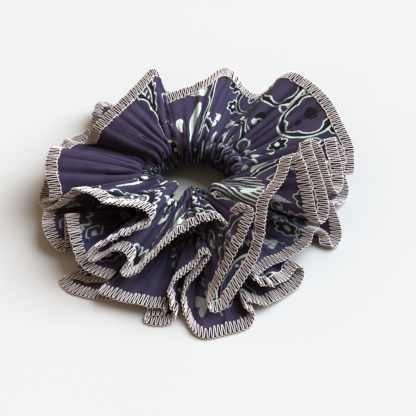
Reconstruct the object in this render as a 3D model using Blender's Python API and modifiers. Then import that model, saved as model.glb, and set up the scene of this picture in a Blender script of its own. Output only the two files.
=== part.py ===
"""A ruffled scrunchie: a printed cotton strip folded round an elastic ring, its two long edges overlocked.

The strip is pieced from two lengths, so two seams cross it. It is folded round the elastic and sewn
through, which makes the casing; past that stitch line its two long edges stand out as an upper and a
lower ruffle. Frame: metres, +Z up, the front at -Y, origin on the table under the middle of the ruffles.
"""

import math

import bmesh
import bpy
from mathutils import Vector

MM = 0.001

# --- driving dimensions -------------------------------------------------------------------------

HOLE_RADIUS = 17.0 * MM  # the free hole, inside the fold
CASING_DEPTH = 10.0 * MM  # from the fold out to the stitch line
CASING_HEIGHT = 9.6 * MM  # outside, where it is tallest
CASING_MIDDLE_Z = 13.0 * MM  # the stitch line's height over the table

CLOTH = 0.6 * MM  # the cotton, thickened
CLEARANCE = 0.35 * MM  # between pieces that touch

ELASTIC_WIDTH = 6.0 * MM
ELASTIC_THICKNESS = 1.2 * MM
ELASTIC_LAP = 12.0 * MM  # its ends lie over each other this far
ELASTIC_ROOM = 3.4 * MM  # from the fold in to the elastic's middle
ELASTIC_RAMP = 15.0  # degrees in which the outer end climbs over the inner one
ELASTIC_JOIN_ANGLE = 165.0  # degrees, the middle of the lap

UPPER_REACH = 67.0 * MM  # the radius of the upper edge, without its waves
LOWER_REACH = 68.0 * MM
UPPER_RISE = 16.5 * MM  # how far the upper ruffle's shoulder stands over the stitch line
UPPER_FALL = 5.0 * MM  # from the shoulder down to the edge
LOWER_EDGE_Z = 5.0 * MM  # the lower edge's height over the table, without its waves
LOWER_SAG = 6.0 * MM  # how hard the lower ruffle is pressed to the table
REAR_RISE = 5.0 * MM  # the upper ruffle stands this much higher behind than in the middle

FLUTES = 12  # waves round each edge
CROWDING = 3.0  # waves more in front, per turn, and less behind
UPPER_WAVE = 7.5 * MM
LOWER_WAVE = 5.5 * MM
UNEVEN = 0.22  # share by which the waves differ in height
OVERHANG = 1.1  # 1 makes a wave's sides upright, more lets its crest overhang them
WAVE_STARTS = 0.25  # share of a leaf that stays free of waves

BINDING = 5.0 * MM  # width of the overlock stitch
LOOPER = 0.4 * MM  # thickness of the looper threads' cover
THREAD = 0.4 * MM  # a sewing thread's thickness

FRONT_SEAM_ANGLE = 240.0  # degrees; the back seam is opposite
SEAM_THREAD = 0.3 * MM
CLOSING_ARC = 20.0  # degrees of the casing closed last, over the elastic's way in
CLOSING_ANGLE = 195.0  # degrees, its middle
THREAD_END_GAP = 1.5  # degrees between two threads on one line

COLUMNS = 108  # round the ruffles, half of them on each panel
ROWS = 6  # along a leaf, without the edge's strip
RING_COLUMNS = 60  # round the casing, its threads and the elastic
CASING_ROWS = 12
LIP = 0.32  # radians of the casing's teardrop left open at its point

# --- derived sizes ------------------------------------------------------------------------------

FOLD_RADIUS = HOLE_RADIUS + CLOTH / 2
STITCH_RADIUS = FOLD_RADIUS + CASING_DEPTH
LAYERS_APART = CLOTH + 2 * CLEARANCE  # the two cloth layers at the stitch line, middle to middle
LEAF_START = STITCH_RADIUS + CLEARANCE
SEAM_GAP = SEAM_THREAD + 2 * CLEARANCE
ELASTIC_RADIUS = FOLD_RADIUS + ELASTIC_ROOM
BACK_SEAM_ANGLE = FRONT_SEAM_ANGLE - 180.0
EDGE_LIFT = CLEARANCE + LOOPER  # a bound edge lies this much higher than the bare cloth
EDGE_STRIP = BINDING + THREAD + 2 * CLEARANCE  # the edge's outermost row holds its threads

# The casing's half section is the teardrop z = b sin(a) sin(a/2), which peaks at this much of b.
TEARDROP_PEAK = max(math.sin(a / 100) * math.sin(a / 200) for a in range(315))
CASING_B = (CASING_HEIGHT - CLOTH) / 2 / TEARDROP_PEAK

PLUM = (0.045, 0.030, 0.075, 1.0)
ROSE_WHITE = (0.62, 0.52, 0.55, 1.0)
ELASTIC_WHITE = (0.80, 0.79, 0.76, 1.0)
DARK_THREAD = (0.035, 0.025, 0.055, 1.0)


# --- scene, materials and node helpers ----------------------------------------------------------


def clear_scene():
    for obj in list(bpy.data.objects):
        bpy.data.objects.remove(obj, do_unlink=True)


def make_material(name, color, roughness):
    material = bpy.data.materials.new(name)
    material.use_nodes = True
    shader = material.node_tree.nodes["Principled BSDF"]
    shader.inputs["Base Color"].default_value = color
    shader.inputs["Roughness"].default_value = roughness
    shader.inputs["Metallic"].default_value = 0.0
    return material


def make_node(name, data, material, collection):
    """A named object that is one sub-part of the scrunchie."""
    obj = bpy.data.objects.new(name, data)
    data.materials.append(material)
    collection.objects.link(obj)
    return obj


def solidify(obj, thickness, lift=0.0):
    """Gives an open surface a wall whose middle lies that far from it, along its normals."""
    wall = obj.modifiers.new("wall", "SOLIDIFY")
    wall.thickness = thickness
    wall.offset = 2 * lift / thickness
    wall.use_even_offset = True


def warped_grid(name, columns, rows, place, closed=False):
    """A grid whose column c and row r go to place(c, r); a closed one has its ends welded together.

    Its bent quads are split along their short diagonals, so layers laid over each other match.
    """
    shape = bmesh.new()
    bmesh.ops.create_grid(shape, x_segments=columns, y_segments=rows, size=1.0)
    for vertex in shape.verts:
        column = round((vertex.co.x + 1) / 2 * columns)
        row = round((vertex.co.y + 1) / 2 * rows)
        vertex.co = place(column, row)
    if closed:
        bmesh.ops.remove_doubles(shape, verts=shape.verts, dist=0.01 * MM)
    bmesh.ops.triangulate(shape, faces=shape.faces, quad_method="SHORT_EDGE")
    mesh = bpy.data.meshes.new(name)
    shape.to_mesh(mesh)
    shape.free()
    mesh.shade_smooth()
    return mesh


def thread_curve(name, points, closed):
    """A round thread through the points."""
    curve = bpy.data.curves.new(name, "CURVE")
    curve.dimensions = "3D"
    curve.bevel_depth = THREAD / 2
    curve.bevel_resolution = 0
    curve.use_fill_caps = not closed
    spline = curve.splines.new("POLY")
    spline.points.add(len(points) - 1)
    for knot, point in zip(spline.points, points):
        knot.co = (*point, 1.0)
    spline.use_cyclic_u = closed
    return curve


# --- the ruffled cloth's shape --------------------------------------------------------------------


def polar(radius, degrees, z):
    """A point by its radius and direction from the ring's axis, which is the Z axis."""
    angle = math.radians(degrees)
    return Vector((radius * math.cos(angle), radius * math.sin(angle), z))


def bezier(knots, t):
    a, b, c, d = knots
    u = 1 - t
    return u**3 * a + 3 * u * u * t * b + 3 * u * t * t * c + t**3 * d


def wave_phase(degrees):
    """The waves' phase, which runs faster in front than behind."""
    angle = math.radians(degrees)
    return FLUTES * angle + CROWDING * math.cos(angle)


def columns_between(first, last, count):
    """Directions from first to last, evenly spread over the waves and not over the circle."""
    start, end = wave_phase(first), wave_phase(last)
    found = [first]
    for column in range(1, count):
        phase = start + (end - start) * column / count
        angle = phase / FLUTES
        for _ in range(30):
            angle = (phase - CROWDING * math.cos(angle)) / FLUTES
        found.append(math.degrees(angle))
    return found + [last]


class Leaf:
    """One ruffle: a profile in (radius, z) that rises towards the back, and the waves on it."""

    def __init__(self, knots, rise, wave, phase):
        self.knots, self.rise, self.wave, self.phase = knots, rise, wave, phase
        steps = 200
        line = [bezier(knots, i / steps) for i in range(steps + 1)]
        along = [0.0]
        for before, after in zip(line, line[1:]):
            along.append(along[-1] + (after - before).length)
        self.length = along[-1]
        self.along = [x / self.length for x in along]
        self.strip_share = EDGE_STRIP / self.length

    def profile(self, share, degrees):
        """The (radius, z) without waves at that share of the way from the stitch line to the edge."""
        last = len(self.along) - 1
        i = next((k for k in range(1, last) if self.along[k] >= share), last)
        t = (i - 1 + (share - self.along[i - 1]) / (self.along[i] - self.along[i - 1])) / last
        behind = math.sin(math.radians(degrees))
        raised = Vector((0.0, self.rise)) * behind
        a, b, c, d = self.knots
        return bezier((a, b, c + raised / 2, d + raised), t)

    def point(self, share, degrees):
        radius, z = self.profile(share, degrees)
        grow = max(0.0, (share - WAVE_STARTS) / (1 - WAVE_STARTS)) ** 1.5
        phase = wave_phase(degrees) + self.phase
        uneven = 1 + UNEVEN * math.sin(math.radians(3 * degrees) + self.phase)
        z += self.wave * grow * uneven * math.cos(phase)
        swing = math.degrees(OVERHANG * grow * math.sin(2 * phase) / 2 / FLUTES)
        bound = min(1.0, max(0.0, (share - 1 + 2 * self.strip_share) / self.strip_share))
        return polar(radius, degrees + swing, max(z, CLOTH / 2 + EDGE_LIFT * bound))

    def rows(self):
        """The shares of a leaf's rows: even ones up to the edge's strip, then the edge."""
        inner = 1 - self.strip_share
        return [inner * r / ROWS for r in range(ROWS + 1)] + [1.0]


def upper_leaf():
    shoulder = CASING_MIDDLE_Z + UPPER_RISE
    knots = (
        Vector((LEAF_START, CASING_MIDDLE_Z + LAYERS_APART / 2)),
        Vector((LEAF_START + 1.0 * MM, shoulder)),
        Vector((LEAF_START + 12.0 * MM, shoulder + 4.0 * MM)),
        Vector((UPPER_REACH, shoulder - UPPER_FALL)),
    )
    return Leaf(knots, REAR_RISE, UPPER_WAVE, 0.0)


def lower_leaf():
    knots = (
        Vector((LEAF_START, CASING_MIDDLE_Z - LAYERS_APART / 2)),
        Vector((LEAF_START + 1.0 * MM, -LOWER_SAG / 2)),
        Vector((LEAF_START + 14.0 * MM, -LOWER_SAG)),
        Vector((LOWER_REACH, LOWER_EDGE_Z)),
    )
    return Leaf(knots, 0.0, LOWER_WAVE, math.pi * 2 / 3)


def short_of_seams(directions, column, radius):
    """A column's direction, moved half a seam gap inward where it is a panel's first or last."""
    gap = math.degrees(SEAM_GAP / 2 / radius)
    inward = {0: gap, len(directions) - 1: -gap}
    return directions[column] + inward.get(column, 0.0)


class RufflePanel:
    """A leaf's vertices from one seam to the next: its columns' directions, and rows from the edge in."""

    def __init__(self, leaf, first_seam):
        self.leaf, self.rows = leaf, leaf.rows()[::-1]
        self.directions = columns_between(first_seam, first_seam + 180.0, COLUMNS // 2)

    def vertex(self, column, row):
        share = self.rows[row]
        radius = self.leaf.profile(share, self.directions[column])[0]
        return self.leaf.point(share, short_of_seams(self.directions, column, radius))

    def on_strip(self, column, from_edge):
        """A point of that column in the edge's strip, that far in from the edge."""
        return self.vertex(column, 0).lerp(self.vertex(column, 1), from_edge / EDGE_STRIP)


def ruffle(name, panel, material, collection):
    mesh = warped_grid(name, len(panel.directions) - 1, len(panel.rows) - 1, panel.vertex)
    solidify(make_node(name, mesh, material, collection), CLOTH)


def casing_section(turn):
    """(radius, z) of the casing's middle surface; turn runs from the upper lip to the lower one."""
    a = LIP + (2 * math.pi - 2 * LIP) * turn
    middle = STITCH_RADIUS - CASING_DEPTH / 2
    z = CASING_B * math.sin(a) * math.sin(a / 2)
    lips = LAYERS_APART / 2 - CASING_B * math.sin(LIP) * math.sin(LIP / 2)
    return middle + CASING_DEPTH / 2 * math.cos(a), CASING_MIDDLE_Z + z + lips * math.cos(math.pi * turn)


def casing_panel(name, first_seam, material, collection):
    columns = RING_COLUMNS // 2
    directions = [first_seam + 180.0 * column / columns for column in range(columns + 1)]

    def place(column, row):
        radius, z = casing_section(row / CASING_ROWS)
        return polar(radius, short_of_seams(directions, column, radius), z)

    mesh = warped_grid(name, columns, CASING_ROWS, place)
    solidify(make_node(name, mesh, material, collection), CLOTH)


def section_points(leaves, degrees, aside):
    """The folded strip's section from the upper edge to the lower, moved round the ring by aside."""
    upper, lower = leaves
    points = []
    for share in reversed(upper.rows()):
        turn = math.degrees(aside / upper.profile(share, degrees)[0])
        points.append(upper.point(share, degrees + turn))
    for row in range(CASING_ROWS + 1):
        radius, z = casing_section(row / CASING_ROWS)
        points.append(polar(radius, degrees + math.degrees(aside / radius), z))
    for share in lower.rows():
        turn = math.degrees(aside / lower.profile(share, degrees)[0])
        points.append(lower.point(share, degrees + turn))
    return points


def seam(name, degrees, leaves, material, collection):
    """The seam's thread, in the gap between two panels, along the folded strip's whole section."""
    sides = [section_points(leaves, degrees, aside) for aside in (-SEAM_THREAD / 2, SEAM_THREAD / 2)]

    def place(column, row):
        return sides[row][column]

    mesh = warped_grid(name, len(sides[0]) - 1, 1, place)
    solidify(make_node(name, mesh, material, collection), CLOTH)


# --- the overlocked edges -------------------------------------------------------------------------


def edge_ribbon(name, panels, inner, outer, thickness, side, material, collection):
    """A closed ribbon over an edge, between two distances in from it.

    Side is 1 on the cloth's upper face and -1 on its under face, with the clearance between them.
    """
    places = [(panel, column) for panel in panels for column in range(len(panel.directions))]

    def place(column, row):
        panel, panel_column = places[column % len(places)]
        return panel.on_strip(panel_column, (outer, inner)[row])

    mesh = warped_grid(name, len(places), 1, place, closed=True)
    lift = side * (CLOTH / 2 + CLEARANCE + thickness / 2)
    solidify(make_node(name, mesh, material, collection), thickness, lift)


def overlock(edge, panels, material, collection):
    """The three threads of an overlocked edge: two looper threads' covers and the needle's line."""
    edge_ribbon(f"{edge}_edge_upper_looper", panels, BINDING, 0.0, LOOPER, 1, material, collection)
    edge_ribbon(f"{edge}_edge_lower_looper", panels, BINDING, 0.0, LOOPER, -1, material, collection)
    inner = BINDING + CLEARANCE + THREAD
    edge_ribbon(
        f"{edge}_edge_needle_thread", panels, inner, inner - THREAD, THREAD, 1, material, collection
    )


# --- the elastic and the casing's stitches --------------------------------------------------------


def elastic_band(material, collection):
    """A flat band bent to a ring, its outer end lapped over its inner one."""
    lap = math.degrees(ELASTIC_LAP / ELASTIC_RADIUS)
    start = ELASTIC_JOIN_ANGLE - lap / 2

    def place(column, row):
        turned = (360.0 + lap) * column / RING_COLUMNS
        climb = min(1.0, max(0.0, (turned - (360.0 - ELASTIC_RAMP)) / ELASTIC_RAMP))
        radius = ELASTIC_RADIUS + climb * (ELASTIC_THICKNESS + CLEARANCE)
        z = CASING_MIDDLE_Z + ELASTIC_WIDTH * (row - 0.5)
        return polar(radius, start + turned, z)

    mesh = warped_grid("elastic_band", RING_COLUMNS, 1, place)
    solidify(make_node("elastic_band", mesh, material, collection), ELASTIC_THICKNESS)


def elastic_join_stitch(material, collection):
    """A zigzag of thread over the lap that holds the elastic's two ends together."""
    zigs = 6
    lap = math.degrees(ELASTIC_LAP / ELASTIC_RADIUS)
    radius = ELASTIC_RADIUS + 1.5 * ELASTIC_THICKNESS + 2 * CLEARANCE + THREAD / 2
    points = []
    for zig in range(zigs + 1):
        degrees = ELASTIC_JOIN_ANGLE + lap * 0.8 * (zig / zigs - 0.5)
        z = CASING_MIDDLE_Z + ELASTIC_WIDTH * 0.32 * (1 if zig % 2 else -1)
        points.append(polar(radius, degrees, z))
    curve = thread_curve("elastic_join_stitch", points, closed=False)
    make_node("elastic_join_stitch", curve, material, collection)


def casing_thread(name, side, first, last, material, collection):
    """A thread of the casing's stitch line, from first to last degrees, over (1) or under (-1) it."""
    section_radius = STITCH_RADIUS - 1.0 * MM
    near = min((abs(casing_section(k / 400)[0] - section_radius), k) for k in range(100))[1]
    rise = casing_section(near / 400)[1] - CASING_MIDDLE_Z
    z = CASING_MIDDLE_Z + side * (rise + CLOTH / 2 + CLEARANCE + THREAD / 2 + 0.1 * MM)
    steps = max(4, round(RING_COLUMNS * (last - first) / 360.0))
    points = [polar(section_radius, first + (last - first) * i / steps, z) for i in range(steps + 1)]
    make_node(name, thread_curve(name, points, closed=False), material, collection)


# --- assembly -------------------------------------------------------------------------------------


def build():
    clear_scene()
    collection = bpy.data.collections.new("scrunchie")
    bpy.context.scene.collection.children.link(collection)
    cotton = make_material("printed_cotton", PLUM, 0.85)
    binding = make_material("overlock_thread", ROSE_WHITE, 0.7)
    elastic = make_material("elastic", ELASTIC_WHITE, 0.8)
    sewing = make_material("sewing_thread", DARK_THREAD, 0.7)

    seams = {"left": BACK_SEAM_ANGLE, "right": FRONT_SEAM_ANGLE}
    leaves = {"upper": upper_leaf(), "lower": lower_leaf()}
    for edge, leaf in leaves.items():
        panels = [RufflePanel(leaf, first_seam) for first_seam in seams.values()]
        for side, panel in zip(seams, panels):
            ruffle(f"{edge}_ruffle_{side}", panel, cotton, collection)
        overlock(edge, panels, binding, collection)
    for side, first_seam in seams.items():
        casing_panel(f"casing_{side}", first_seam, cotton, collection)
    seam("front_seam_thread", FRONT_SEAM_ANGLE, leaves.values(), sewing, collection)
    seam("back_seam_thread", BACK_SEAM_ANGLE, leaves.values(), sewing, collection)

    elastic_band(elastic, collection)
    elastic_join_stitch(sewing, collection)

    closing_first = CLOSING_ANGLE - CLOSING_ARC / 2
    closing_last = CLOSING_ANGLE + CLOSING_ARC / 2
    for thread, side in (("needle", 1), ("bobbin", -1)):
        casing_thread(
            f"casing_{thread}_thread", side,
            closing_last + THREAD_END_GAP, closing_first + 360.0 - THREAD_END_GAP, sewing, collection,
        )
        casing_thread(f"closing_{thread}_thread", side, closing_first, closing_last, sewing, collection)


build()
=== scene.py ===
"""The looks of a ruffled scrunchie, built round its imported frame.

A printed cotton strip is folded round an elastic ring and sewn through beside it. Past that stitch
line its two long edges stand free as an upper and a lower ruffle, each bound with overlock thread.
The ruffles are cloth: the folds come from lists of points along the two edges, and a relaxation
that keeps the strip's lengths, holds its layers apart and lays it on the table gives the cloth
between them its shape. Lengths in this file are in millimetres until a mesh is made.
"""

import math
from functools import reduce

import bmesh
import bpy
import numpy as np
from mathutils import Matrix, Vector


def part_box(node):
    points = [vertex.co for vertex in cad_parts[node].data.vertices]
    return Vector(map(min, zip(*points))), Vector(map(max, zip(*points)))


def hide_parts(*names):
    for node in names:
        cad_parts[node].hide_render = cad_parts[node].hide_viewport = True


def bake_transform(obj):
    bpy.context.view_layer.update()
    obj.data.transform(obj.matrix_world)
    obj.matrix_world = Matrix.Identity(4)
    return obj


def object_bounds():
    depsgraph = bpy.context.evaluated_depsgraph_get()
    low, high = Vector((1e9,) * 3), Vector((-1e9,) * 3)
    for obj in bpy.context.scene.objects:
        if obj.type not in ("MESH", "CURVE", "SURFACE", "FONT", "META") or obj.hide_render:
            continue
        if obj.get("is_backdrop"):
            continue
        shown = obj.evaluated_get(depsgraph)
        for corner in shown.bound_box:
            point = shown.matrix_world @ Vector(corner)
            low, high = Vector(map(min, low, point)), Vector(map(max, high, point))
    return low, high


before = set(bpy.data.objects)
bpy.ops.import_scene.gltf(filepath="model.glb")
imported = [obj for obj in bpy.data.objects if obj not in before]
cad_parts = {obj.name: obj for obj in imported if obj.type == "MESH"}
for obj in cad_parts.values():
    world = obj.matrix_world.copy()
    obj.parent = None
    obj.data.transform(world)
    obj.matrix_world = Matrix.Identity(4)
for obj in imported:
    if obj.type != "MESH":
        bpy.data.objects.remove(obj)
CAD_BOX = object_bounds()

MM = 0.001
TURN = 2 * math.pi

# --- the strip and the thread ---------------------------------------------------------------------

STRIP_LENGTH = 770.0
LEAF = 47.0  # from the stitch line to a bound edge
CASING_CLOTH = 26.0  # round the elastic, between the two stitch lines
CLOTH = 0.32
LOWEST = 0.8  # the cloth over the floor, with its threads between
BINDING = 4.7  # width of the overlock stitch
STITCH = 1.86  # length of an overlock stitch
YARN = 0.2  # radius of the looper threads
NEEDLE_YARN = 0.19  # radius of the overlock's needle thread
SEWING_THREAD = 0.16  # radius of the sewing machine's threads
CASING_STITCH, CLOSING_STITCH, SEAM_STITCH = 2.5, 2.4, 2.4  # lengths of the other stitches
CLOSING_AT, CLOSING_LONG = 0.87, 24  # share of the way round, and its length in columns
CASING_LINE, CLOSING_LINE = 0.4, 1.3  # rows out from where the ruffles start
# One sewing machine stitch, as (share of its length, 1 on the cloth or 0 in it).
SEWN = np.array([(0.06, 0.0), (0.2, 1.0), (0.8, 1.0), (0.94, 0.0)])

COLUMNS = 720  # of the finished cloth, round the whole strip
LEAF_ROWS = 40
CASING_ROWS = 22
PLEATS = 84  # round the ring, where the cloth is gathered
PLEATS_SEED = 7
COARSE = 3 / 2  # the relaxation works on a cloth this much coarser
ROUNDS = 160  # of the relaxation
HOLD = 0.12  # how firmly the first round holds the leaves to their starting shape
TOUCHING = 1.5  # layers of cloth nearer than this push each other apart

# --- the folds ------------------------------------------------------------------------------------
# Each edge as (direction in degrees, radius, height), anticlockwise from above, measured from
# EDGES_FROM.

UPPER_EDGE = [
    # the two fans at the back left
    (109, 51, 32), (133, 43, 30), (156, 46, 25), (159, 49, 18), (155, 54, 10), (161, 60, 12),
    (169, 61, 14), (173, 61, 22), (185, 62, 22), (195, 61, 15),
    # the curl at the left, and the long fold that rolls in over the front
    (191, 66, 9), (196, 63, 9), (199, 57, 17), (202, 51, 24), (211, 47, 26), (220, 46, 27),
    (229, 42, 28), (238, 39, 28), (246, 40, 26), (241, 46, 23), (235, 52, 22), (230, 60, 19),
    (228, 65, 15),
    # a small pleat under it
    (231, 62, 13), (234, 56, 16), (239, 53, 17), (244, 56, 15), (241, 60, 11),
    # the long diagonal across the front
    (246, 60, 11), (256, 47, 20), (266, 40, 23), (281, 37, 25), (290, 40, 23), (291, 44, 20),
    (296, 40, 25), (302, 40, 30),
    # two deep folds that hang down the front
    (303, 44, 30), (297, 48, 28), (290, 52, 24), (283, 57, 17), (277, 62, 10), (275, 67, 6),
    (278, 69, 5), (283, 65, 9), (289, 61, 14), (296, 57, 19), (303, 51, 25), (311, 44, 30),
    (321, 43, 32), (333, 42, 34), (346, 42, 36),
    # the bundle on the right
    (341, 47, 35), (333, 52, 31), (326, 58, 26), (325, 62, 20), (331, 62, 22), (336, 58, 27),
    (345, 52, 31), (359, 48, 34), (356, 52, 33), (350, 55, 28), (342, 60, 22), (347, 63, 18),
    (354, 62, 22), (2, 60, 26), (8, 60, 27), (5, 64, 20), (357, 67, 14), (8, 69, 20),
    (15, 67, 24),
    # the fan at the back right, a dip, and the tall fan behind the hole
    (28, 67, 28), (42, 67, 29), (50, 65, 27), (57, 66, 14), (62, 62, 9), (68, 60, 14),
    (74, 54, 29), (82, 42, 30), (100, 37, 28), (122, 38, 28),
]
LOWER_EDGE = [
    # behind
    (70, 62, 3), (82, 66, 9), (95, 63, 2), (108, 66, 8), (120, 66, 2), (129, 71, 6), (135, 66, 9),
    (142, 62, 4), (150, 66, 2), (157, 64, 8), (166, 66, 2), (174, 64, 8), (184, 67, 2),
    (194, 65, 7),
    # the left
    (202, 67, 9), (210, 67, 7), (213, 63, 4), (206, 58, 15), (214, 60, 16), (219, 62, 15),
    (227, 65, 11), (235, 63, 8), (236, 60, 4), (230, 65, 2), (221, 71, 1), (227, 73, 1),
    (236, 69, 1), (242, 65, 3),
    # the front
    (236, 68, 5), (245, 67, 5), (257, 66, 5), (261, 66, 3), (254, 70, 1), (259, 71, 1),
    (264, 69, 2), (262, 64, 8), (262, 60, 13), (270, 53, 16), (277, 48, 18), (273, 54, 14),
    (267, 59, 10), (267, 64, 5), (269, 69, 2), (272, 76, 1), (280, 75, 1), (288, 74, 1),
    (289, 70, 4), (288, 66, 7), (294, 68, 4), (303, 67, 2), (312, 66, 2), (313, 62, 6),
    (305, 64, 7), (297, 65, 10), (293, 61, 12), (299, 58, 12),
    # the right
    (309, 58, 11), (321, 59, 10), (330, 58, 10), (334, 62, 4), (331, 66, 2), (337, 67, 2),
    (342, 64, 6), (347, 60, 9), (352, 63, 4), (358, 67, 2), (6, 66, 7), (14, 65, 3), (24, 67, 2),
    (33, 65, 8), (42, 67, 3), (52, 66, 8), (61, 64, 2),
]

# --- places from the frame ------------------------------------------------------------------------


def union(*nodes):
    """The box round several CAD nodes, in millimetres."""
    boxes = [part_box(node) for node in nodes]
    low = np.min([np.array(box[0]) for box in boxes], axis=0) / MM
    high = np.max([np.array(box[1]) for box in boxes], axis=0) / MM
    return low, high


casing_low, casing_high = union("casing_left", "casing_right")
AXIS = (casing_low + casing_high) / 2  # the middle of the ring
EDGES_FROM = np.array([0.0, 7.0])  # the edges' directions and radii are measured from here
CASING_OUTSIDE = (casing_high[0] - casing_low[0]) / 2
elastic_low, elastic_high = union("elastic_band")
ELASTIC_WIDTH = elastic_high[2] - elastic_low[2]
FOLD = 17.3  # radius of the casing's inner fold
STITCH_INSIDE = 1.2  # the stitch line's distance inside the casing's outside
CASING_TALL = casing_high[2] - casing_low[2] - CLOTH
CASING_LIP = 0.32  # radians of the casing's teardrop left open at its point
STITCH_LINE = CASING_OUTSIDE - STITCH_INSIDE
LAYERS_APART = 0.45  # each layer's middle from the ring's middle plane, at the stitch line
TEARDROP = 0.77  # the highest value of sin(a) * sin(a / 2), which shapes the casing's section
FRONT_SEAM = 240.0  # degrees


# --- arrays of points -----------------------------------------------------------------------------


def polar(degrees, radius, height, middle=AXIS):
    """Places from their directions and distances round a middle, and their heights."""
    angle = np.radians(degrees)
    x = middle[0] + radius * np.cos(angle)
    y = middle[1] + radius * np.sin(angle)
    return np.stack(np.broadcast_arrays(x, y, height), axis=-1)


def unit(vectors):
    """The vectors at length 1."""
    return vectors / np.maximum(np.linalg.norm(vectors, axis=-1, keepdims=True), 1e-9)


def sample(values, at, closed):
    """Catmull-Rom interpolation along the first axis at fractional indices."""
    count = len(values)
    base = np.floor(at).astype(int)
    t = (at - base).reshape((-1,) + (1,) * (values.ndim - 1))

    def pick(shift):
        index = base + shift
        return values[index % count] if closed else values[np.clip(index, 0, count - 1)]

    a, b, c, d = pick(-1), pick(0), pick(1), pick(2)
    return b + t / 2 * (c - a + t * (2 * a - 5 * b + 4 * c - d + t * (3 * (b - c) + d - a)))


def even_ring(points, count):
    """A closed curve through the points, as count places evenly spaced along it."""
    fine = sample(points, np.arange(len(points) * 40) / 40, closed=True)
    steps = np.linalg.norm(np.roll(fine, -1, axis=0) - fine, axis=1)
    along = np.concatenate([[0], np.cumsum(steps)])
    targets = np.arange(count) / count * along[-1]
    return sample(fine, np.interp(targets, along, np.arange(len(along))), closed=True)


def blur_ring(values, width):
    """Averages a closed row of numbers with a bell of that width, in places."""
    reach = int(3 * width)
    offsets = np.arange(-reach, reach + 1)
    bell = np.exp(-0.5 * (offsets / width) ** 2)
    return sum(w * np.roll(values, -o) for w, o in zip(bell / bell.sum(), offsets))


# --- the cloth ------------------------------------------------------------------------------------


def ring_directions(edge):
    """Each column's direction at the stitch line, which follows its edge's smoothed direction."""
    turned = np.unwrap(np.arctan2(edge[:, 1] - AXIS[1], edge[:, 0] - AXIS[0]))
    even = turned[0] + np.arange(len(edge)) / len(edge) * TURN
    smooth = even + blur_ring(turned - even, len(edge) / 26)
    forward = np.maximum.accumulate(smooth)
    return np.degrees(0.8 * forward + 0.2 * even)


def edge_from_seam(control, columns):
    """An edge's even places and their directions at the stitch line, starting at the front seam."""
    edge = even_ring(polar(*np.array(control, float).T, EDGES_FROM), columns)
    directions = ring_directions(edge)
    first = np.argmin(np.abs((directions - FRONT_SEAM + 180) % 360 - 180))
    directions = np.where(np.arange(columns) < first, directions + 360, directions)
    directions = np.roll(directions, -first)
    return np.roll(edge, -first, axis=0), directions - directions[0] + FRONT_SEAM


def first_leaf(edge, directions, side, rows):
    """A leaf's starting shape: each column bends from the stitch line to its place on the edge."""
    columns = len(edge)
    start = polar(directions, STITCH_LINE, AXIS[2] + side * LAYERS_APART)
    radial = unit(polar(directions, 1.0, 0.0) - polar(directions, 0.0, 0.0))
    front = np.maximum(0, -radial[:, 1:2])
    rise = side * (1 - 0.6 * front) if side > 0 else side * (1.6 - 0.6 * front)
    leave = unit(-1.7 * radial + rise * np.array([0, 0, 1]))
    arrive = unit(start + 16.0 * leave - edge)
    low, high = np.full(columns, 3.0), np.full(columns, 70.0)
    share = np.linspace(0, 1, rows + 1)[:, None, None]
    for _ in range(18):
        reach = ((low + high) / 2)[:, None]
        knots = start, start + reach * leave, edge + reach * arrive, edge
        left = 1 - share
        weights = left**3, 3 * share * left**2, 3 * share**2 * left, share**3
        leaf = sum(w * knot for w, knot in zip(weights, knots))
        length = np.linalg.norm(np.diff(leaf, axis=0), axis=2).sum(axis=0)
        low = np.where(length < LEAF, reach[:, 0], low)
        high = np.where(length < LEAF, high, reach[:, 0])
    steps = np.linalg.norm(np.diff(leaf, axis=0), axis=2)
    along = np.concatenate([np.zeros((1, columns)), steps.cumsum(axis=0)])
    for column in range(columns):
        even = np.linspace(0, along[-1, column], rows + 1)
        at = np.interp(even, along[:, column], np.arange(rows + 1))
        leaf[:, column] = sample(leaf[:, column].copy(), at, closed=False)
    return leaf


def pull(cloth, a, b, rest, slack, stiffness=0.5):
    """Moves two sets of places so that the cloth between them has its length.

    Stretched cloth is pulled back at once, and squeezed cloth only by the share slack."""
    between = cloth[b] - cloth[a]
    length = np.maximum(np.linalg.norm(between, axis=-1, keepdims=True), 1e-6)
    error = (length - rest) / length
    move = np.where(error > 0, error, error * slack) * between * stiffness
    cloth[a] += move
    cloth[b] -= move


def close_pairs(points, reach):
    """Every pair of points nearer than reach, found by sorting them into cells."""
    cells = np.floor(points / reach).astype(np.int64)
    cells -= cells.min(axis=0) - 1
    size = cells.max(axis=0) + 2
    key = (cells[:, 0] * size[1] + cells[:, 1]) * size[2] + cells[:, 2]
    order = np.argsort(key, kind="stable")
    ordered = key[order]
    found = []
    steps = [(i, j, k) for i in (-1, 0, 1) for j in (-1, 0, 1) for k in (-1, 0, 1)]
    for i, j, k in steps[13:]:
        other = key + (i * size[1] + j) * size[2] + k
        first = np.searchsorted(ordered, other, "left")
        count = np.searchsorted(ordered, other, "right") - first
        a = np.repeat(np.arange(len(points)), count)
        b = order[np.arange(count.sum()) - np.repeat(np.cumsum(count) - count - first, count)]
        near = (points[a] - points[b]) ** 2 @ np.ones(3) < reach**2
        if (i, j, k) == (0, 0, 0):
            near &= a < b
        found.append((a[near], b[near]))
    return [np.concatenate(side) for side in zip(*found)]


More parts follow.
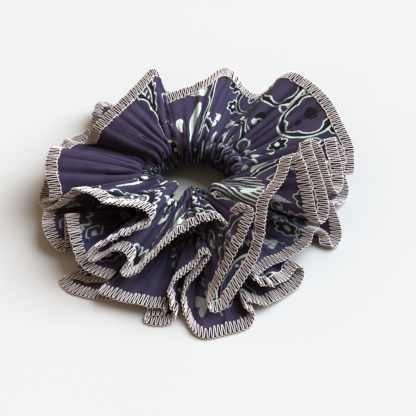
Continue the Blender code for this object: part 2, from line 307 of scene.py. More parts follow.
def keep_apart(leaves, reach):
    """Pushes apart places of the cloth that are near in space but not neighbours on the strip."""
    points = np.concatenate([leaf.reshape(-1, 3) for leaf in leaves])
    rows, columns = leaves[0].shape[:2]
    number = np.arange(len(points))
    leaf, place = number // (rows * columns), number % (rows * columns)
    row, column = place // columns, place % columns
    a, b = close_pairs(points, reach)
    gap = np.abs(column[a] - column[b])
    gap = np.minimum(gap, columns - gap)
    apart = (leaf[a] != leaf[b]) | (gap > 8) | (np.abs(row[a] - row[b]) > 3)
    apart &= (row[a] > rows * 0.25) & (row[b] > rows * 0.25)
    a, b = a[apart], b[apart]
    between = points[b] - points[a]
    length = np.maximum(np.linalg.norm(between, axis=1), 1e-6)
    move = between * ((reach - length) / length / 2)[:, None]
    hits = np.bincount(a, minlength=len(points)) + np.bincount(b, minlength=len(points))
    for axis in range(3):
        pushed = move[:, axis]
        push = np.bincount(b, pushed, len(points)) - np.bincount(a, pushed, len(points))
        points[:, axis] += push / np.maximum(1, hits) * 1.2
    for leaf, moved in zip(leaves, np.split(points, len(leaves))):
        leaf[1:] = moved.reshape(leaf.shape)[1:]


def relax(leaves, rounds, hold):
    """Lets the leaves settle: they keep their lengths, resist bending, stay apart and lie on the
    table, and are held to their starting shape less and less."""
    rows, columns = leaves[0].shape[0] - 1, leaves[0].shape[1]
    down, across = LEAF / rows, STRIP_LENGTH / columns
    goals = [leaf.copy() for leaf in leaves]
    share = np.linspace(0, 1, rows + 1)[:, None, None]
    slack = 0.02 + 0.5 * share**1.5
    held = 0.35 + 0.65 * share**2 + 0.5 * (1 - share) ** 4
    floor = CLOTH + 2 * YARN * (share > 0.88)
    diagonal = math.hypot(across, down)
    index = np.arange(columns)
    for turn in range(rounds):
        ease = 1 - turn / rounds
        for leaf, goal in zip(leaves, goals):
            root = leaf[0].copy()
            for start in (0, 1):
                a = index[start::2]
                b = (a + 1) % columns
                pull(leaf, (slice(None), a), (slice(None), b), across, slack)
                a = slice(start, rows, 2)
                b = slice(start + 1, rows + 1, 2)
                pull(leaf, a, b, down, 0.5)
            for start in range(3):
                a = index[start::3][: columns // 3]
                b = (a + 3) % columns
                pull(leaf, (slice(None), a), (slice(None), b), 3 * across, 0.25 * slack, 0.2)
            for start in (0, 1, 2):
                for begin in (start, start + 3):
                    a = slice(begin, rows - 2, 6)
                    b = slice(begin + 3, rows + 1, 6)
                    pull(leaf, a, b, 3 * down, 0.25, 0.3)
            for start in (0, 1):
                a = index[start::2]
                for b in ((a + 1) % columns, (a - 1) % columns):
                    for begin in (0, 1):
                        top = slice(begin, rows, 2)
                        under = slice(begin + 1, rows + 1, 2)
                        pull(leaf, (top, a), (under, b), diagonal, 0.5 * slack[1:2], 0.15)
            smooth = (leaf[:-2] + leaf[2:]) / 2 - leaf[1:-1]
            leaf[1:-1] += 0.06 * smooth
            smooth = (np.roll(leaf, 1, axis=1) + np.roll(leaf, -1, axis=1)) / 2 - leaf
            leaf[1:] += 0.1 * smooth[1:]
            leaf += (goal - leaf) * (hold * ease + 0.01) * held
            leaf[0] = root
            leaf[..., 2] = np.maximum(leaf[..., 2], floor[..., 0])
        if turn % 3 == 2:
            keep_apart(leaves, TOUCHING)


def resample(leaf, rows, columns):
    """The same leaf as a finer grid."""
    leaf = sample(leaf, np.linspace(0, len(leaf) - 1, rows + 1), closed=False)
    turned = leaf.transpose(1, 0, 2)
    finer = sample(turned, np.arange(columns) / columns * len(turned), closed=True)
    return finer.transpose(1, 0, 2)


def casing_rows(directions):
    """The cloth round the elastic, from the upper stitch line over the fold to the lower one."""
    turn = np.linspace(0, 1, CASING_ROWS + 1)[:, None]
    angle = CASING_LIP + (TURN - 2 * CASING_LIP) * turn
    depth = (STITCH_LINE - FOLD) / 2
    tall = CASING_TALL / 2 / TEARDROP
    radius = STITCH_LINE - depth + depth * np.cos(angle)
    rise = tall * np.sin(angle) * np.sin(angle / 2)
    lips = LAYERS_APART - tall * math.sin(CASING_LIP) * math.sin(CASING_LIP / 2)
    return polar(directions, radius, AXIS[2] + rise + lips * np.cos(math.pi * turn))


def ripple(chance, place, waves, strength):
    """An uneven wave round the ring: a sum of sines, each with a chance strength and phase."""
    return sum(
        chance.normal(0, strength(wave)) * np.sin(wave * place + chance.uniform(0, TURN))
        for wave in waves
    )


def gathers(grid, seed):
    """Pleats that take up the strip's length where it is drawn in, as far as there is room.

    Returns how far each place rises off the cloth, and how deep in a valley it lies, 0 to 1, which
    sets the painted shade in the pleats."""
    rows, columns = grid.shape[:2]
    chance = np.random.default_rng(seed)
    place = np.arange(columns) / columns * TURN
    along = np.linspace(-1, 1, rows)[:, None]
    wander = ripple(chance, place, range(2, 15), lambda wave: 2.2 / math.sqrt(wave))
    lean = ripple(chance, place, range(3, 30), lambda wave: 0.8)
    phase = PLEATS * place + wander + lean * along
    doubled = 0.35 * np.sin(2 * phase + 1.3 * wander + 2 * along)
    wave = np.sin(phase) + doubled + 0.3 * np.sin(0.43 * phase + lean)
    spacing = np.linalg.norm(np.roll(grid, -1, axis=1) - grid, axis=2)
    spacing = np.array([blur_ring(row, columns / PLEATS) for row in spacing])
    drawn_in = np.maximum(STRIP_LENGTH / columns / spacing, 1.0)
    pitch = spacing * columns / PLEATS
    deep = pitch / 4 * np.sqrt(drawn_in**2 - 1)
    from_stitch = np.abs(np.arange(rows) - (rows - 1) / 2) - CASING_ROWS / 2
    most = np.where(from_stitch < 0, 1.0, 0.25 + 1.7 * np.exp(-np.maximum(0, from_stitch) / 12))
    most = most * np.clip(np.abs(from_stitch) / 2.5, 0.12, 1)
    deep = most[:, None] * np.tanh(deep / most[:, None])
    patchy = ripple(chance, place, range(5, 24), lambda wave: 0.16)
    rise = deep * (wave + 0.5) * np.clip(1 + patchy, 0.35, 1.7)
    for seam in (0, columns // 2):
        away = np.abs(np.arange(columns) - seam)
        away = np.minimum(away, columns - away)
        rise = rise - 0.4 * np.exp(-(away / 0.8) ** 2)
    return rise, np.clip(0.5 - 0.5 * wave * np.tanh(deep * 1.6), 0, 1)


def normals(grid):
    """The direction square to a closed grid at each of its places."""
    down = np.gradient(grid, axis=0)
    across = (np.roll(grid, -1, axis=1) - np.roll(grid, 1, axis=1)) / 2
    return unit(np.cross(down, across))


def make_cloth():
    """The whole strip as a grid: rows from the upper edge over the casing to the lower edge."""
    columns, rows = round(COLUMNS / COARSE), round(LEAF_ROWS / COARSE)
    upper_edge, upper_directions = edge_from_seam(UPPER_EDGE, columns)
    lower_edge, lower_directions = edge_from_seam(LOWER_EDGE, columns)
    directions = (upper_directions + lower_directions) / 2
    leaves = [
        first_leaf(upper_edge, directions, 1, rows),
        first_leaf(lower_edge, directions, -1, rows),
    ]
    relax(leaves, ROUNDS, HOLD)
    upper, lower = [resample(leaf, LEAF_ROWS, COLUMNS) for leaf in leaves]
    once_round = np.append(directions, directions[0] + 360)
    fine = np.interp(np.arange(COLUMNS) / COARSE, np.arange(columns + 1), once_round)
    grid = np.concatenate([upper[:0:-1], casing_rows(fine), lower[1:]])
    rise, pleat_shading = gathers(grid, PLEATS_SEED)
    grid -= normals(grid) * rise[..., None]
    grid[..., 2] = np.maximum(grid[..., 2], LOWEST)
    return grid, pleat_shading


cloth, pleat_shading = make_cloth()
PRINTED_SIDE = -normals(cloth)
UPPER_STITCH, LOWER_STITCH = LEAF_ROWS, LEAF_ROWS + CASING_ROWS
BACK_SEAM = COLUMNS // 2


def on_cloth(row, column, height):
    """Places at fractional rows and columns of the cloth, raised off its printed side."""
    values = [np.asarray(value, float) for value in (row, column, height)]
    row, column, height = np.broadcast_arrays(*values)
    low_row = np.clip(np.floor(row).astype(int), 0, len(cloth) - 2)
    low_column = np.floor(column).astype(int)
    a, b = row - low_row, column - low_column
    place = 0
    for down in (0, 1):
        for across in (0, 1):
            corner = low_row + down, (low_column + across) % COLUMNS
            weight = (a if down else 1 - a) * (b if across else 1 - b)
            raised = cloth[corner] + height[:, None] * PRINTED_SIDE[corner]
            place = place + weight[:, None] * raised
    return place


# --- pieces ---------------------------------------------------------------------------------------


def piece(name, points, faces, material):
    """A smooth mesh object made of four-sided faces, from places in millimetres."""
    mesh = bpy.data.meshes.new(name)
    mesh.from_pydata((points.reshape(-1, 3) * MM).tolist(), [], faces.reshape(-1, 4).tolist())
    mesh.shade_smooth()
    mesh.materials.append(material)
    obj = bpy.data.objects.new(name, mesh)
    bpy.context.scene.collection.objects.link(obj)
    return obj


def lay_out(obj, name, values):
    """Gives each point of a piece its place on the flat pattern, for its material."""
    places = obj.data.attributes.new(name, "FLOAT_VECTOR", "POINT")
    places.data.foreach_set("vector", np.asarray(values, np.float32).ravel())


def across_the_halves(obj, slot, *nodes):
    """Bakes the piece's place into its mesh and hides the frame's pieces that it stands for."""
    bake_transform(obj)
    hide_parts(*nodes)


def panel(name, first, last, nodes):
    """One of the two cloth panels, from seam to seam and from bound edge to bound edge."""
    columns = np.arange(first, last + 1)
    grid = cloth[:, columns % COLUMNS]
    index = np.arange(grid[..., 0].size).reshape(grid.shape[:2])
    faces = np.stack([index[:-1, :-1], index[:-1, 1:], index[1:, 1:], index[1:, :-1]], axis=-1)
    obj = piece(name, grid, faces, printed_cotton("printed_side", 1.0))
    obj.data.materials.append(printed_cotton("wrong_side", 0.62))
    rows = np.arange(len(cloth))
    to_stitch, to_edge = CASING_CLOTH / 2, CASING_CLOTH / 2 + LEAF
    marks = [0, UPPER_STITCH, LOWER_STITCH, rows[-1]]
    lengths = np.interp(rows, marks, [to_edge, to_stitch, -to_stitch, -to_edge])
    flat = np.zeros(grid.shape)
    flat[..., 0] = columns * (STRIP_LENGTH / COLUMNS)
    flat[..., 1] = lengths[:, None]
    # The third coordinate is how deep in a pleat's valley each point lies, which the material uses
    # to paint shade there.
    flat[..., 2] = pleat_shading[:, columns % COLUMNS]
    lay_out(obj, "cut", flat)
    bpy.ops.object.select_all(action="DESELECT")
    bpy.context.view_layer.objects.active = obj
    thick = obj.modifiers.new("thickness", "SOLIDIFY")
    thick.thickness = CLOTH * MM
    thick.offset = 0
    thick.material_offset = 1
    bpy.ops.object.modifier_apply(modifier="thickness")
    across_the_halves(obj, "printed_cotton", *nodes)
    return obj


def tube(name, path, facing, radius, sides, closed, material):
    """A yarn along a path; facing is square to the cloth that it lies on."""
    if closed:
        ahead = unit(np.roll(path, -1, axis=0) - np.roll(path, 1, axis=0))
    else:
        ahead = unit(np.gradient(path, axis=0))
    beside = unit(np.cross(ahead, facing))
    above = np.cross(beside, ahead)
    around = np.arange(sides) / sides * TURN
    aside, up = np.cos(around)[None, :, None], np.sin(around)[None, :, None]
    points = path[:, None] + radius * (aside * beside[:, None] + up * above[:, None])
    index = np.arange(points[..., 0].size).reshape(points.shape[:2])
    index = np.concatenate([index, index[:, :1]], axis=1)
    if closed:
        index = np.concatenate([index, index[:1]], axis=0)
    corners = index[:-1, :-1], index[1:, :-1], index[1:, 1:], index[:-1, 1:]
    faces = np.stack(corners, axis=-1).reshape(-1, 4)
    if not closed:  # an open yarn has four sides, so one face closes each end
        faces = np.concatenate([faces, index[:1, :4], index[-1:, 3::-1]])
    obj = piece(name, points, faces, material)
    steps = np.linalg.norm(np.diff(path, axis=0), axis=1)
    along = np.concatenate([[0], np.cumsum(steps)])
    flat = np.zeros(points.shape)
    flat[..., 0] = along[:, None]
    flat[..., 1] = around
    lay_out(obj, "lay", flat)
    return obj


def stitches(name, shape, edge, radius=YARN, side=1):
    """Repeats one stitch's shape along a bound edge.

    The shape is (share of the stitch's length, depth as a share of the binding, height) for each
    bend, and side is 1 on the printed side of the cloth and -1 on its wrong side."""
    count = round(STRIP_LENGTH / STITCH)
    chance = np.random.default_rng(len(name))
    shape = np.array(shape, float)
    step, depth, height = shape.T
    along = (np.arange(count)[:, None] + step).ravel() / count * COLUMNS
    uneven = 1 + 0.05 * chance.standard_normal((count, 1))
    depth = (depth * BINDING * uneven).ravel()
    height = side * np.tile(height, count)
    row = depth / LEAF * LEAF_ROWS
    row = row if edge == "upper" else len(cloth) - 1 - row
    path = on_cloth(row, along, height)
    facing = on_cloth(row, along, height + 1) - path
    return tube(name, path, facing, radius, 5, True, loop_yarn)


def over_edge(edge):
    """The three threads of one edge's overlock stitch."""
    thick = CLOTH / 2
    loop = [
        (0.00, 1.00, thick + 0.14), (0.13, 0.96, thick + 0.18), (0.21, 0.72, thick + 0.24),
        (0.27, 0.38, thick + 0.26), (0.30, 0.08, thick + 0.22), (0.40, -0.07, 0.2),
        (0.58, -0.07, 0.2), (0.70, 0.08, thick + 0.24), (0.73, 0.38, thick + 0.26),
        (0.79, 0.72, thick + 0.24), (0.87, 0.96, thick + 0.18),
    ]
    top = stitches(edge + "_edge_top_thread", loop, edge)
    across_the_halves(top, "overlock_thread", edge + "_edge_upper_looper")
    half_a_stitch_on = [(step + 0.5, depth, height) for step, depth, height in loop]
    under = stitches(edge + "_edge_under_thread", half_a_stitch_on, edge, side=-1)
    across_the_halves(under, "overlock_thread", edge + "_edge_lower_looper")
    straight = [
        (0.04, 0.97, -0.05), (0.14, 0.98, thick + 0.3), (0.5, 0.98, thick + 0.42),
        (0.86, 0.98, thick + 0.3), (0.96, 0.97, -0.05),
    ]
    needle = stitches(edge + "_edge_needle_line", straight, edge, radius=NEEDLE_YARN)
    across_the_halves(needle, "overlock_thread", edge + "_edge_needle_thread")
    return top, under, needle


def sewn(count, on_top):
    """Each bend of a row of stitches: its share of the row's length, and its height."""
    share = (np.arange(count)[:, None] + SEWN[:, 0]).ravel() / count
    showing = np.tile(SEWN[:, 1], count)
    return share, showing * on_top - (1 - showing) * 0.1


def sewing(name, row, column, height, whole, node):
    """A row of sewing machine stitches through those places of the cloth."""
    path = on_cloth(row, column, height)
    facing = on_cloth(row, column, height + 1) - path
    obj = tube(name, path, facing, SEWING_THREAD, 4, whole, sewing_yarn)
    across_the_halves(obj, "sewing_thread", node)


def running_stitch(name, row, first, last, length, node):
    """A straight seam round the casing: stitches on one face that dip through the cloth between."""
    count = round((last - first) / COLUMNS * STRIP_LENGTH / length)
    share, height = sewn(count, CLOTH / 2 + SEWING_THREAD * 0.7)
    column = first + share * (last - first)
    sewing(name, row, column, height, last - first >= COLUMNS, node)


def seam_stitch(name, column, node):
    """The seam that joins the two panels end to end."""
    share, height = sewn(round((2 * LEAF + CASING_CLOTH) / SEAM_STITCH), CLOTH / 2 - 0.06)
    sewing(name, share * (len(cloth) - 1), column, height, False, node)


def elastic_piece(name, node, slot, material):
    """A welded copy of a hidden piece of the frame."""
    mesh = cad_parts[node].data.copy()
    shell = bmesh.new()
    shell.from_mesh(mesh)
    bmesh.ops.remove_doubles(shell, verts=shell.verts, dist=1e-6)
    shell.to_mesh(mesh)
    shell.free()
    mesh.materials.clear()
    mesh.materials.append(material)
    obj = bpy.data.objects.new(name, mesh)
    bpy.context.scene.collection.objects.link(obj)
    across_the_halves(obj, slot, node)


# --- shader maths ---------------------------------------------------------------------------------


class Wire:
    """One output of a shader node. Arithmetic on it adds Math nodes."""

    def __init__(self, tree, socket=None):
        self.tree = tree
        self.socket = socket

    def node(self, kind, settings=None, inputs=None, output=0):
        """Adds a node: its settings are set first, then the values or links of its sockets."""
        made = self.tree.nodes.new(kind)
        for name, value in (settings or {}).items():
            setattr(made, name, value)
        for key, value in (inputs or {}).items():
            if isinstance(value, Wire):
                self.tree.links.new(value.socket, made.inputs[key])
            else:
                made.inputs[key].default_value = value
        return Wire(self.tree, made.outputs[output]) if len(made.outputs) else made

    def math(self, operation, *others):
        values = dict(enumerate((self, *others)))
        return self.node("ShaderNodeMath", {"operation": operation}, values)

    def __add__(self, other):
        return self.math("ADD", other)

    def __radd__(self, other):
        return self.math("ADD", other)

    def __sub__(self, other):
        return self.math("SUBTRACT", other)

    def __rsub__(self, other):
        return self.node("ShaderNodeMath", {"operation": "SUBTRACT"}, {0: other, 1: self})

    def __mul__(self, other):
        return self.math("MULTIPLY", other)

    def __rmul__(self, other):
        return self.math("MULTIPLY", other)

    def __truediv__(self, other):
        return self.math("DIVIDE", other)

    def __abs__(self):
        return self.math("ABSOLUTE")

    def clamped(self):
        return self.node("ShaderNodeClamp", None, {0: self})


def parts(vector):
    """The x, y and z of a vector."""
    split = vector.node("ShaderNodeSeparateXYZ", None, {0: vector}).socket.node
    return [Wire(vector.tree, output) for output in split.outputs]


def noise(place, size, detail=2.0, output=0):
    """Noise whose blotches are about that size, in the units of the place given."""
    inputs = {"Vector": place, "Scale": 1 / size, "Detail": detail}
    return place.node("ShaderNodeTexNoise", None, inputs, output)


def joined(x, y):
    """The vector (x, y, 0)."""
    return x.node("ShaderNodeCombineXYZ", None, {0: x, 1: y})


def mixed(share, first, second):
    """The first colour where the share is 0 and the second where it is 1."""
    settings = {"data_type": "RGBA"}
    return share.node("ShaderNodeMix", settings, {0: share, 6: first, 7: second}, 2)


def turned(x, y, degrees):
    """Coordinates turned about their origin."""
    c, s = math.cos(math.radians(degrees)), math.sin(math.radians(degrees))
    return x * c + y * s, y * c - x * s


def turned_by(x, y, angle):
    """Coordinates turned by an angle that varies."""
    c, s = angle.math("COSINE"), angle.math("SINE")
    return x * c + y * s, y * c - x * s


def filled(inside):
    """Ink where a shape's distance inside its outline is positive."""
    return (inside * (1 / INK_EDGE)).clamped()


def line(distance, width):
    """Ink within half a width of a shape's outline."""
    return filled(width / 2 - abs(distance))


def both(first, second):
    """The ink of two shapes."""
    return first.math("MAXIMUM", second)


def drop(x, y, length, width, bend):
    """Distance inside a teardrop: its point at the origin, its round end at x = length."""
    share = (x * (1 / length)).clamped()
    half = share * (1 - share * share).math("SQRT") * width
    tail = (1 - share) * (1 - share) * bend
    return half - abs(y - tail)


# --- the printed cotton ---------------------------------------------------------------------------

INK_EDGE = 0.22  # a printed line's edge fades over this
WANDERS = 3.3  # the wandering of the print, on average
MEDALLIONS = [
    # middle along and across the strip, half its width and height, scallops
    (590, 42, 51, 38, 31), (489, 42, 16, 27, 15), (386, 47, 8, 9, 5), (409, 50, 6, 6, 5),
    (300, 32, 20, 18, 15), (8, -48, 21, 19, 15), (763, -50, 18, 18, 13),
]
DROPS = [
    # point along and across the strip, direction in degrees, length, width, bend of the tail
    (488, 28, 110, 21, 8.0, -2.5), (496, 35, 97, 9, 5.5, 1.0), (505, 28, 60, 8, 4.0, 1.5),
    (505, 22, 12, 10, 2.4, 2.5), (486, 59, 215, 11, 5.5, 4.0), (180, 55, 240, 10, 4.0, 2.5),
    (36, 53, 200, 9, 4.5, -2.5), (50, 47, 250, 9, 4.0, 2.0), (30, -27, 235, 15, 5.0, 4.0),
    (240, -50, 200, 10, 4.5, 2.5), (226, 50, 250, 11, 4.5, -3.0),
]
BLOTS = [
    # middle along and across the strip, radius
    (386, 49, 3.1), (385, 42, 2.0), (389, 56, 2.3), (407, 33, 2.4), (462, 58, 2.6), (42, 55, 2.8),
    (300, -44, 2.4),
]
STRIPES_AT = (176, 40, 14, 15)  # middle and half sizes of the striped patch
SINGLE_LINED = 25  # a border with as many scallops has one pale line, and a smaller one two
PURPLE, FADED_PURPLE = (0.048, 0.037, 0.080, 1), (0.086, 0.067, 0.134, 1)
BLACK = (0.010, 0.009, 0.011, 1)
# Painted shade: near black for the cloth under the overlock binding, where shade falls between the
# looper threads.
SHADE_UNDER_THE_BINDING = (0.012, 0.010, 0.014, 1)
# Painted shade: near black laid over the cloth deep in the pleats' valleys.
SHADE_DEEP_IN_A_PLEAT = (0.008, 0.006, 0.010, 1)
INK, FRESH_INK = (0.48, 0.55, 0.50, 1), (0.74, 0.84, 0.77, 1)
THREAD_SHADE, THREAD_LIGHT = (0.80, 0.80, 0.80, 1), (1.12, 1.12, 1.12, 1)
WEAVE = 0.42  # over which the weave repeats


def cells(x, y, wide, tall):
    """Coordinates in staggered cells, from each cell's middle, with three random numbers a cell."""
    row = (y * (1 / tall)).math("FLOOR")
    slid = x + row.math("MODULO", 2.0) * (wide / 2)
    column = (slid * (1 / wide)).math("FLOOR")
    local_x = slid - (column + 0.5) * wide
    local_y = y - (row + 0.5) * tall
    settings = {"noise_dimensions": "2D"}
    chance = row.node("ShaderNodeTexWhiteNoise", settings, {0: joined(column, row)}, 1)
    return local_x, local_y, parts(chance)


def from_middle(x, y):
    """How far a place is from the origin."""
    place = joined(x, y)
    return place.node("ShaderNodeVectorMath", {"operation": "LENGTH"}, {0: place}, 1)


def scallops(angle, count, depth):
    """How far a scalloped outline swells at an angle."""
    return abs((angle * (count / 2)).math("SINE")) * depth


def leaf_shapes(x, y):
    """The large curved leaves of the print: pale ink, black ink, and the ground that they cover."""
    local_x, local_y, chance = cells(x, y, 50.0, 42.0)
    local_x, local_y = turned_by(local_x, local_y, chance[0] * TURN)
    local_x = local_x + 4.0
    radius = from_middle(local_x, local_y)
    angle = local_y.math("ARCTAN2", local_x) + radius * 0.046
    point = (angle.math("COSINE") * 0.5 + 0.5).math("POWER", 7.0)
    reach = point * 9.5 + 9.5
    outline = radius - reach
    edge = outline - scallops(angle, 17, 1.9)
    pale = both(line(edge - 1.2, 1.2), line(outline + 1.9, 1.0))
    black = line(outline + 0.1, 2.4)
    inner = radius - reach * 0.45
    pale = both(pale, line(inner + scallops(angle, 8, 1.6), 1.1))
    petals = filled(abs((angle * 3).math("SINE")) * 4.0 - abs(radius - 3.8) - 1.4)
    pale = both(pale, petals * filled(reach * 0.42 - radius))
    beads = (angle * 13).math("SINE") * 1.1 - abs(outline + 4.0)
    pale = both(pale, filled(beads) * (point * -6 + 1.5).clamped())
    return pale, black, filled(3.4 - outline)


def small_shapes(x, y):
    """Drops, hooks and rings scattered over the ground between the leaves."""
    local_x, local_y, chance = cells(x, y, 15.5, 13.0)
    local_x, local_y = turned_by(local_x, local_y, chance[0] * TURN)
    drops = both(filled(drop(local_x + 6.5, local_y + 1.2, 10.5, 4.2, 3.2)),
                 filled(drop(local_x + 4.0, local_y - 3.0, 6.4, 3.0, -1.9)))
    radius = from_middle(local_x, local_y)
    angle = local_y.math("ARCTAN2", local_x)
    bulb = filled(1.6 - from_middle(local_x + 1.2, local_y - 0.4))
    hook = both(line(radius - angle * 0.85 - 3.3, 1.1), bulb)
    flower = both(line(radius - 3.6 - scallops(angle, 6, 1.4), 0.95), filled(1.5 - radius))
    choice = chance[1]
    some_drops = choice.math("LESS_THAN", 0.42)
    some_hook = choice.math("GREATER_THAN", 0.42) * choice.math("LESS_THAN", 0.72)
    some_flower = choice.math("GREATER_THAN", 0.72) * choice.math("LESS_THAN", 0.95)
    pale = both(both(drops * some_drops, hook * some_hook), flower * some_flower)
    return pale, filled(5.0 - radius) * some_flower * (1 - pale)


def medallions(x, y):
    """Plain grounds with a scalloped border: pale ink, black ink and the ground they cover."""
    shapes = []
    for middle_x, middle_y, wide, tall, count in MEDALLIONS:
        local_x, local_y = x - middle_x, (y - middle_y) * (wide / tall)
        outline = from_middle(local_x, local_y) - wide
        angle = local_y.math("ARCTAN2", local_x)
        edge = outline - scallops(angle, count, 2.0)
        lines = line(edge, 1.7)
        if count < SINGLE_LINED:
            lines = both(lines, line(outline - 4.4, 1.1))
        shapes.append((lines, line(outline - 3.0, 2.6), filled(edge * -1)))
    pale, black, ground = (reduce(both, inks) for inks in zip(*shapes))
    return pale * (1 - ground), black, ground


def placed_drops(x, y):
    """The drops that have their own places."""
    shapes = []
    for tip_x, tip_y, degrees, length, width, bend in DROPS:
        local_x, local_y = turned(x - tip_x, y - tip_y, degrees)
        shapes.append(filled(drop(local_x, local_y, length, width, bend)))
    return reduce(both, shapes)


def blots(x, y):
    """Round black spots."""
    return reduce(both, [
        filled(radius - from_middle(x - middle_x, y - middle_y))
        for middle_x, middle_y, radius in BLOTS
    ])


def stripes(x, y):
    """Near-parallel lines that run across the strip."""
    run = y * 0.25 + x + (y * (1 / 14.0)).math("SINE") * 1.5
    return line(run.math("PINGPONG", 2.0) - 1.0, 1.0)


def wandering(cut):
    """The print's own coordinates: the cloth's, drawn askew here and there, with ragged edges."""
    place = cut
    for size, reach in ((16.0, 6.0), (1.3, 0.55)):
        inputs = {0: noise(cut, size, 1.0, 1), 1: (reach, reach, 0), 2: place}
        place = cut.node("ShaderNodeVectorMath", {"operation": "MULTIPLY_ADD"}, inputs)
    x, y, _ = parts(place)
    return x - WANDERS, y - WANDERS


def printed(x, y):
    """The whole print: pale ink and black ink."""
    leaf_pale, leaf_black, covered = leaf_shapes(x + 11.0, y + 6.0)
    small_pale, small_black = small_shapes(x + 4.0, y + 2.0)
    border_pale, border_black, ground = medallions(x, y)
    along, across, half_long, half_wide = STRIPES_AT
    from_stripes = from_middle((x - along) * (1 / half_long), (y - across) * (1 / half_wide))
    striped = filled(6.0 - 6.0 * from_stripes)
    pale = both(leaf_pale, (1 - covered) * small_pale) * (1 - striped) + stripes(x, y) * striped
    black = both(leaf_black, (1 - covered) * small_black) * (1 - striped)
    pale = both(pale * (1 - border_black), border_pale) * (1 - ground)
    black = both(black, border_black) * (1 - ground)
    return both(pale, placed_drops(x, y)), both(black, blots(x, y))


def bumpy(shader, relief, strength, distance):
    """Gives a shader its relief, whose height is the distance in metres."""
    inputs = {"Strength": strength, "Distance": distance, "Height": relief}
    bump = relief.node("ShaderNodeBump", None, inputs)
    relief.tree.links.new(bump.socket, shader.inputs["Normal"])


def new_material(name):
    """A material, and its shader."""
    material = bpy.data.materials.new(name)
    material.use_nodes = True
    return material, material.node_tree, material.node_tree.nodes["Principled BSDF"]


def printed_cotton(name, strength):
    """Purple cotton printed in pale green and black, more faintly at a lower strength. Its colour
    also holds painted shade: under the binding, deep in the pleats and on the gathered casing.
    """
    material, tree, shader = new_material(name)
    flat = Wire(tree).node("ShaderNodeAttribute", {"attribute_name": "cut"}, None, 1)
    weft, warp, pleat_shading_share = parts(flat)
    cut = joined(weft, warp)
    pale, black = printed(*wandering(cut))
    wear = noise(cut, 0.8, 3.0)
    faded = noise(cut, 9.0, 3.0)
    # Painted shade: the pale ink is dimmed on the gathered casing and just past its stitch lines,
    # standing in for the shade between the tight gathers.
    gather_shade = (1.25 - abs(warp) * 0.06).clamped()
    # Painted shade: the cloth under the binding is darkened to near black, standing in for the
    # shade under the threads.
    binding_shade = filled((abs(warp) - (LEAF + CASING_CLOTH / 2 - BINDING)) * 0.4)
    weave = (weft * (TURN / WEAVE)).math("SINE") * (warp * (TURN / WEAVE)).math("SINE")
    base = mixed((faded * 2.2 - 0.6).clamped(), PURPLE, FADED_PURPLE)
    base = mixed((black * strength).clamped(), base, BLACK)
    pale = pale * (1 - gather_shade * 0.7)
    ink = mixed((wear * 1.8 - 0.4).clamped(), INK, FRESH_INK)
    color = mixed((pale * strength).clamped(), base, ink)
    color = mixed(binding_shade, color, SHADE_UNDER_THE_BINDING)
    threads = mixed((weave * 0.5 + 0.5).clamped(), THREAD_SHADE, THREAD_LIGHT)
    # Painted shade: the cloth darkens towards the bottoms of the pleats' valleys.
    color = mixed(((pleat_shading_share - 0.5) * 1.5).clamped(), color, SHADE_DEEP_IN_A_PLEAT)
    shaded = color.node("ShaderNodeVectorMath", {"operation": "MULTIPLY"}, {0: color, 1: threads})
    tree.links.new(shaded.socket, shader.inputs["Base Color"])
    tree.links.new((0.78 + faded * 0.16).socket, shader.inputs["Roughness"])
    shader.inputs["Specular IOR Level"].default_value = 0.25
    shader.inputs["Sheen Weight"].default_value = 0.08
    shader.inputs["Sheen Roughness"].default_value = 0.45
    shader.inputs["Sheen Tint"].default_value = (0.72, 0.70, 0.85, 1)
    creases = noise(cut, 2.6, 4.0)
    bumpy(shader, weave * 0.35 + creases * 2.2 + pale * 0.25, 0.6, 0.00012)
    return material


# --- yarns and elastic ----------------------------------------------------------------------------


def yarn(name, dark, light, twist, sheen):
    """Spun thread: plies that turn once in a twist, a fuzzy surface and an uneven colour, with
    painted light and shade along the plies.
    """
    material, tree, shader = new_material(name)
    lay = Wire(tree).node("ShaderNodeAttribute", {"attribute_name": "lay"}, None, 1)
    along, around, _ = parts(lay)
    plies = (along * (TURN / twist) + around * 2).math("SINE")
    fuzz = noise(joined(along, around * 0.3), 0.35, 3.0)
    tone = noise(joined(along * 0.12, around * 0.05), 1.0, 2.0)
    # The plies' term is painted light and shade: lighter on each ply's crown and darker in the
    # groove between plies, as the bump rises and sinks.
    share = (tone * 1.3 + plies * 0.14 + fuzz * 0.5 - 0.42).clamped()
    tree.links.new(mixed(share, dark, light).socket, shader.inputs["Base Color"])
    tree.links.new((0.62 + fuzz * 0.3).socket, shader.inputs["Roughness"])
    shader.inputs["Sheen Weight"].default_value = sheen
    shader.inputs["Sheen Roughness"].default_value = 0.5
    bumpy(shader, plies * 0.5 + fuzz, 0.7, 0.00008)
    return material


RIB = 0.0009  # metres from rib to rib of the elastic
BRAIDS = 190  # round the ring
GROOVE_GREY, COVERING = (0.42, 0.41, 0.40, 1), (0.80, 0.79, 0.77, 1)


def braided_elastic():
    """White braided elastic: ribs along its length, greyer in the grooves between them."""
    material, tree, shader = new_material("braided_elastic")
    place = Wire(tree).node("ShaderNodeTexCoord", None, None, 3)
    x, y, z = parts(place)
    turn = (y - AXIS[1] * MM).math("ARCTAN2", x - AXIS[0] * MM)
    ribs = (z * (TURN / RIB)).math("SINE")
    braid = (turn * BRAIDS + ribs * 1.2).math("SINE")
    # Greyer where the relief of the ribs and braids is low.
    share = (ribs * 0.35 + braid * 0.25 + 0.5).clamped()
    tree.links.new(mixed(share, GROOVE_GREY, COVERING).socket, shader.inputs["Base Color"])
    shader.inputs["Roughness"].default_value = 0.7
    bumpy(shader, ribs + braid * 0.6, 0.8, 0.0002)
    return material


TABLE, TABLE_LIGHT = (0.555, 0.555, 0.555, 1), (0.575, 0.575, 0.573, 1)


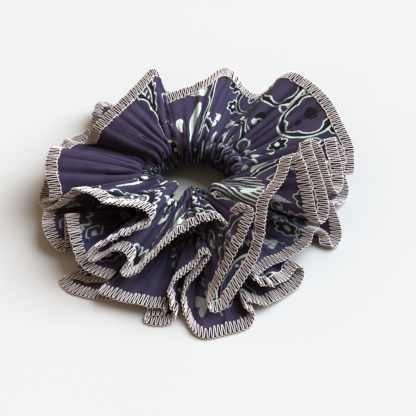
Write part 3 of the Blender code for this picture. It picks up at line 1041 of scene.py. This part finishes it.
def tabletop():
    """A plain pale surface, hardly uneven."""
    material, tree, shader = new_material("tabletop")
    tone = noise(Wire(tree).node("ShaderNodeTexCoord", None, None, 3), 0.15, 2.0)
    tree.links.new(mixed(tone, TABLE, TABLE_LIGHT).socket, shader.inputs["Base Color"])
    shader.inputs["Roughness"].default_value = 0.75
    shader.inputs["Specular IOR Level"].default_value = 0.2
    return material


# --- the scrunchie --------------------------------------------------------------------------------

PINKISH, OFF_WHITE = (0.58, 0.49, 0.49, 1), (0.98, 0.94, 0.95, 1)
DARK_THREAD, LIT_THREAD = (0.05, 0.038, 0.07, 1), (0.10, 0.08, 0.14, 1)
loop_yarn = yarn("loop_yarn", PINKISH, OFF_WHITE, twist=0.9, sheen=0.12)
sewing_yarn = yarn("sewing_yarn", DARK_THREAD, LIT_THREAD, twist=0.6, sheen=0.2)

panel_right = panel("panel_right", 0, BACK_SEAM,
                    ["casing_right", "upper_ruffle_right", "lower_ruffle_right"])
panel_left = panel("panel_left", BACK_SEAM, COLUMNS,
                   ["casing_left", "upper_ruffle_left", "lower_ruffle_left"])
bindings = over_edge("upper") + over_edge("lower")
closing_middle = COLUMNS * CLOSING_AT
closing = closing_middle - CLOSING_LONG / 2, closing_middle + CLOSING_LONG / 2
for seam, out, ends, length in (
    ("casing", CASING_LINE, (0, COLUMNS), CASING_STITCH),
    ("closing", CLOSING_LINE, closing, CLOSING_STITCH),
):
    running_stitch(f"{seam}_top_stitches", UPPER_STITCH - out, *ends, length,
                   f"{seam}_needle_thread")
    running_stitch(f"{seam}_under_stitches", LOWER_STITCH + out, *ends, length,
                   f"{seam}_bobbin_thread")
seam_stitch("front_seam_stitches", 0.0, "front_seam_thread")
seam_stitch("back_seam_stitches", float(BACK_SEAM), "back_seam_thread")
elastic = braided_elastic()
elastic_piece("elastic_ring", "elastic_band", "elastic", elastic)
elastic_piece("elastic_zigzag", "elastic_join_stitch", "sewing_thread", elastic)

# --- stage ----------------------------------------------------------------------------------------

TARGET = Vector((6.0, -1.0, 0.0)) * MM
ELEVATION = math.radians(48.0)
DISTANCE = 400.0 * MM
WINDOW_SIDE, WINDOW_HEIGHT = math.radians(20), math.radians(46)
WINDOW_LIGHT, WINDOW_WIDTH, WINDOW_COLOR = 5.87, math.radians(55), (0.80, 0.909, 1.0)
ROOM_LIGHT, ROOM_COLOR, BACKDROP = 0.54, (1.0, 0.73, 0.50, 1), (1.62, 1.62, 1.62, 1)
CONTRAST = 0.84

camera = bpy.data.objects.new("camera", bpy.data.cameras.new("camera"))
camera.data.lens = 80
camera.data.clip_start = 0.01
camera.location = TARGET + DISTANCE * Vector((0, -math.cos(ELEVATION), math.sin(ELEVATION)))
camera.rotation_euler = (math.pi / 2 - ELEVATION, 0, 0)
bpy.context.scene.collection.objects.link(camera)
bpy.context.scene.camera = camera

bpy.ops.mesh.primitive_plane_add(size=6)
floor = bpy.context.object
floor.name = "floor"
floor.data.materials.append(tabletop())
floor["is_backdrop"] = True

world = bpy.data.worlds.new("room")
world.use_nodes = True
background = world.node_tree.nodes["Background"]
seen = Wire(world.node_tree).node("ShaderNodeLightPath")
room = mixed(seen, ROOM_COLOR, BACKDROP)
world.node_tree.links.new(room.socket, background.inputs["Color"])
background.inputs["Strength"].default_value = ROOM_LIGHT
bpy.context.scene.world = world

window = bpy.data.lights.new("window", "SUN")
window.energy = WINDOW_LIGHT
window.angle = WINDOW_WIDTH
window.color = WINDOW_COLOR
lamp = bpy.data.objects.new("window", window)
level = math.cos(WINDOW_HEIGHT)
from_window = Vector((level * math.cos(WINDOW_SIDE), level * math.sin(WINDOW_SIDE),
                      math.sin(WINDOW_HEIGHT)))
lamp.rotation_euler = (-from_window).to_track_quat("-Z", "Y").to_euler()
bpy.context.scene.collection.objects.link(lamp)
bpy.context.scene.view_settings.view_transform = "Standard"
bpy.context.scene.view_settings.gamma = CONTRAST

boxes = {"cad": CAD_BOX, "visual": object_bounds()}
boxes = {name: [list(corner) for corner in box] for name, box in boxes.items()}
